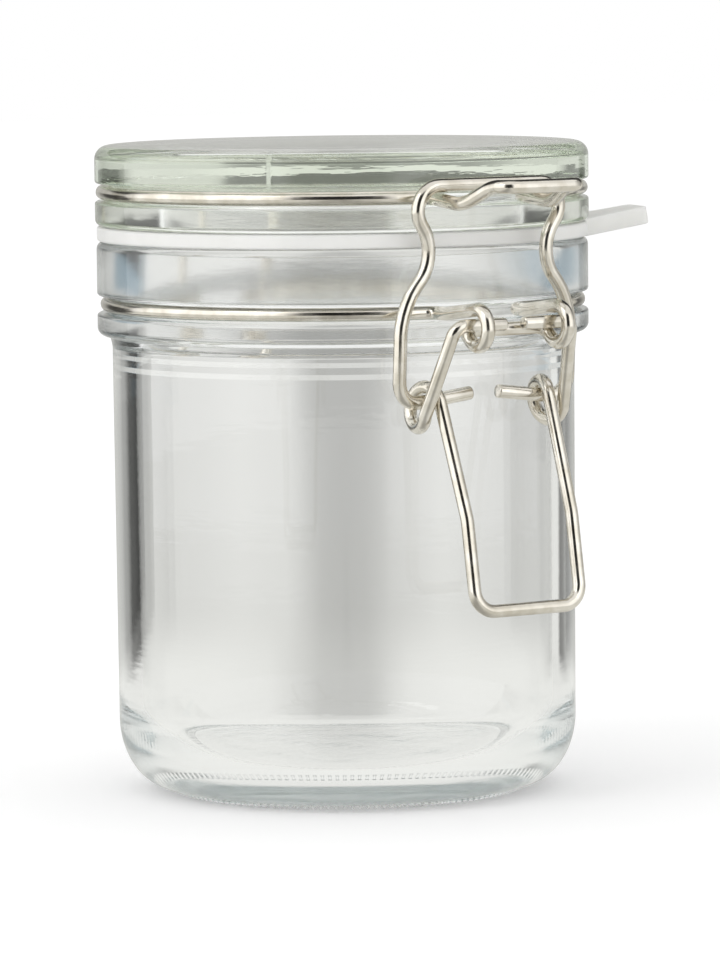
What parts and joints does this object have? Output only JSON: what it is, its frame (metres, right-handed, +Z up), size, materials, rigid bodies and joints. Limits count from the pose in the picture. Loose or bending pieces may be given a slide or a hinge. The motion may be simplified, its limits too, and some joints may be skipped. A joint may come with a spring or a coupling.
{
  "type": "clamp lid jar",
  "caption": "Glass storage jar with a hinged glass lid on a silicone ring, held shut by a bent wire toggle clamp with a finger loop.",
  "frame": {"origin": "on the jar's axis, in the plane of the foot ring it stands on", "axes": "+Z up along the jar's axis, -Y towards the clamp, +Y towards the hinge"},
  "size_m": [0.1054, 0.125, 0.1244],
  "materials": {
    "jar_glass": "clear pressed glass",
    "lid_glass": "clear pressed glass, faintly green",
    "silicone": "matt, milky",
    "neck_wire_metal": "bright drawn wire",
    "lid_wire_metal": "bright drawn wire",
    "link_metal": "bright drawn wire",
    "lever_metal": "bright drawn wire"
  },
  "bodies": {
    "jar": {"jar_body": "jar_glass", "neck_wire": "neck_wire_metal"},
    "lid": {"lid": "lid_glass", "gasket": "silicone", "lid_wire": "lid_wire_metal"},
    "lever": {"lever": "lever_metal"},
    "link": {"link": "link_metal"}
  },
  "joints": [
    {"name": "lid_hinge", "type": "hinge", "parent": "jar", "child": "lid", "pos_m": [0, 0.0519, 0.0911], "axis": [-1, 0, 0], "range_deg": [0, 105]},
    {"name": "lever_pivot", "type": "hinge", "parent": "jar", "child": "lever", "pos_m": [0, -0.0577, 0.0922], "axis": [-1, 0, 0], "range_deg": [0, 100]},
    {"name": "link_pivot", "type": "hinge", "parent": "lever", "child": "link", "pos_m": [0, -0.0476, 0.0776], "axis": [-1, 0, 0], "range_deg": [-135, 0]}
  ],
  "couplings": [
    {"joint": "lever_pivot", "follows": "lid_hinge", "ratio": 0.952},
    {"joint": "link_pivot", "follows": "lid_hinge", "ratio": -1.285}
  ]
}
